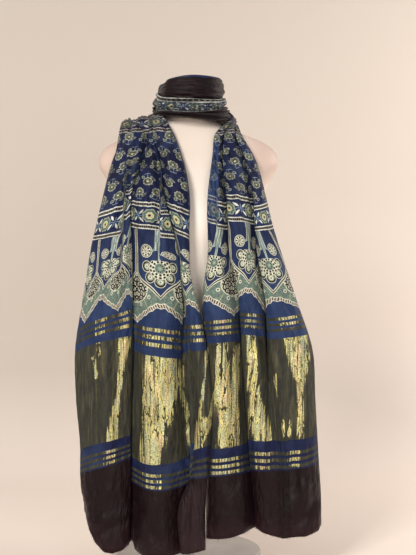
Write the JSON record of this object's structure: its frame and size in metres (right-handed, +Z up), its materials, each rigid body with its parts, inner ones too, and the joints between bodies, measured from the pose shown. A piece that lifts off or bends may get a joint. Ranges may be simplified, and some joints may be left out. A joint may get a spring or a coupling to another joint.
{
  "type": "ajrakh dupatta on a dress form",
  "caption": "Long block-printed cloth wound round the neck of a plain headless dress form on a pole and round base, its pleated ends hanging in front.",
  "frame": {"origin": "middle of the base's underside, on the floor", "axes": "+Z up along the pole; the form faces -Y, and +X runs to the right of someone who looks at its front"},
  "size_m": [0.523, 0.3448, 1.0566],
  "materials": {
    "cloth": "soft printed silk blend, indigo and black, with bands of gold zari tissue near the ends",
    "form": "matte, warm off-white",
    "base": "brushed plate",
    "pole": "brushed tube"
  },
  "bodies": {
    "root": {"dupatta": "cloth", "dress_form": "form", "base": "base", "pole": "pole"}
  },
  "joints": []
}
